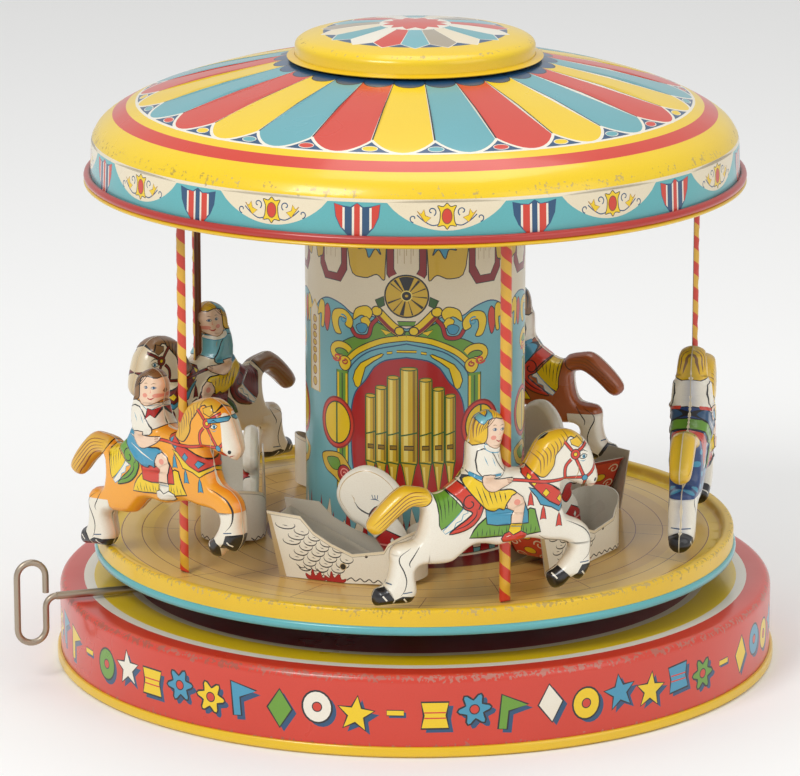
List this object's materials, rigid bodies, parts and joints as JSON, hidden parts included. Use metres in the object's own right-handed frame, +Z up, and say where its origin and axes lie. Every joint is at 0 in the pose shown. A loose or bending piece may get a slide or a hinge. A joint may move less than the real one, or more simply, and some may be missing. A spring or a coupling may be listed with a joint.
{
  "type": "wind-up tin carousel toy",
  "caption": "Lithographed tin carousel: round base with a spring motor and key, turntable with horses and swan boats on striped poles, round column and scalloped canopy.",
  "frame": {"origin": "on the spindle axis, at the plane the base stands on", "axes": "+Z up along the spindle; -Y is the toy's front; the winding key leaves the side at 18 degrees from -X towards -Y"},
  "size_m": [0.2787, 0.2664, 0.2359],
  "materials": {
    "coral_litho": "glossy lithographed enamel",
    "yellow_litho": "glossy lithographed enamel",
    "floor_litho": "glossy lithographed enamel, wood pattern",
    "column_litho": "glossy lithographed enamel",
    "canopy_litho": "glossy lithographed enamel, radial bands",
    "pole_litho": "glossy lithographed enamel, diagonal stripes",
    "white_horse": "glossy lithographed enamel",
    "dark_horse": "glossy lithographed enamel",
    "bay_horse": "glossy lithographed enamel",
    "palomino_horse": "glossy lithographed enamel",
    "swan_litho": "glossy lithographed enamel",
    "tub_litho": "glossy lithographed enamel",
    "motor_steel": "bare steel",
    "key_steel": "tarnished steel wire",
    "wheel_brass": "stamped brass"
  },
  "bodies": {
    "base": {"base_shell": "coral_litho", "base_bottom_plate": "yellow_litho", "motor_lower_plate": "motor_steel", "motor_upper_plate": "motor_steel", "motor_pillar_1": "motor_steel", "motor_pillar_2": "motor_steel", "motor_pillar_3": "motor_steel", "spindle": "motor_steel", "key_bearing": "motor_steel", "mainspring": "key_steel"},
    "key": {"key_wire": "key_steel", "winding_pinion": "wheel_brass"},
    "spring_arbor": {"spring_arbor": "motor_steel", "winding_crown_wheel": "wheel_brass", "ratchet_wheel": "motor_steel"},
    "great_wheel": {"great_wheel": "wheel_brass", "click_spring": "key_steel"},
    "click": {"click": "motor_steel"},
    "second_arbor": {"second_arbor": "motor_steel", "second_wheel": "wheel_brass"},
    "governor": {"governor_arbor": "motor_steel", "governor_fan": "wheel_brass"},
    "carousel": {"turntable": "floor_litho", "hub_sleeve": "motor_steel", "hub_pinion": "wheel_brass", "hub_wheel": "wheel_brass", "column": "column_litho", "canopy": "canopy_litho", "top_cap": "yellow_litho", "pole_1": "pole_litho", "pole_2": "pole_litho", "pole_3": "pole_litho", "pole_4": "pole_litho", "pole_5": "pole_litho", "horse_1_outer_half": "white_horse", "horse_1_inner_half": "white_horse", "horse_2_outer_half": "dark_horse", "horse_2_inner_half": "dark_horse", "horse_3_outer_half": "bay_horse", "horse_3_inner_half": "bay_horse", "horse_4_outer_half": "white_horse", "horse_4_inner_half": "white_horse", "horse_5_outer_half": "palomino_horse", "horse_5_inner_half": "palomino_horse", "boat_1_hull": "swan_litho", "boat_1_tub": "tub_litho", "boat_1_swan_neck": "swan_litho", "boat_2_hull": "swan_litho", "boat_2_tub": "tub_litho", "boat_2_swan_neck": "swan_litho", "boat_3_hull": "swan_litho", "boat_3_tub": "tub_litho", "boat_3_swan_neck": "swan_litho", "boat_4_hull": "swan_litho", "boat_4_tub": "tub_litho", "boat_4_swan_neck": "swan_litho", "boat_5_hull": "swan_litho", "boat_5_tub": "tub_litho", "boat_5_swan_neck": "swan_litho"}
  },
  "joints": [
    {"name": "turntable_spin", "type": "hinge", "parent": "base", "child": "carousel", "pos_m": [0, 0, 0.046], "axis": [0, 0, 1], "continuous": true},
    {"name": "great_wheel_spin", "type": "hinge", "parent": "base", "child": "great_wheel", "pos_m": [-0.02853, -0.00927, 0.015], "axis": [0, 0, 1], "continuous": true},
    {"name": "second_arbor_spin", "type": "hinge", "parent": "base", "child": "second_arbor", "pos_m": [0.02511, 0.00816, 0.015], "axis": [0, 0, 1], "continuous": true},
    {"name": "governor_spin", "type": "hinge", "parent": "base", "child": "governor", "pos_m": [0.03589, -0.00845, 0.015], "axis": [0, 0, 1], "continuous": true},
    {"name": "key_turn", "type": "hinge", "parent": "base", "child": "key", "pos_m": [-0.11413, -0.03708, 0.032], "axis": [-0.9511, -0.309, 0], "continuous": true},
    {"name": "spring_arbor_wind", "type": "hinge", "parent": "base", "child": "spring_arbor", "pos_m": [-0.02853, -0.00927, 0.02], "axis": [0, 0, 1], "continuous": true},
    {"name": "click_lift", "type": "hinge", "parent": "great_wheel", "child": "click", "pos_m": [-0.0409, -0.01329, 0.016], "axis": [0, 0, 1], "range_deg": [-8, 0], "stiffness_Nm_per_rad": 0.002, "springref_deg": 5.73}
  ],
  "couplings": [
    {"joint": "great_wheel_spin", "follows": "turntable_spin", "ratio": -0.33333},
    {"joint": "second_arbor_spin", "follows": "turntable_spin", "ratio": -4.5},
    {"joint": "governor_spin", "follows": "turntable_spin", "ratio": 20.25},
    {"joint": "spring_arbor_wind", "follows": "turntable_spin", "ratio": -0.33333},
    {"joint": "key_turn", "follows": "turntable_spin", "ratio": -1}
  ]
}
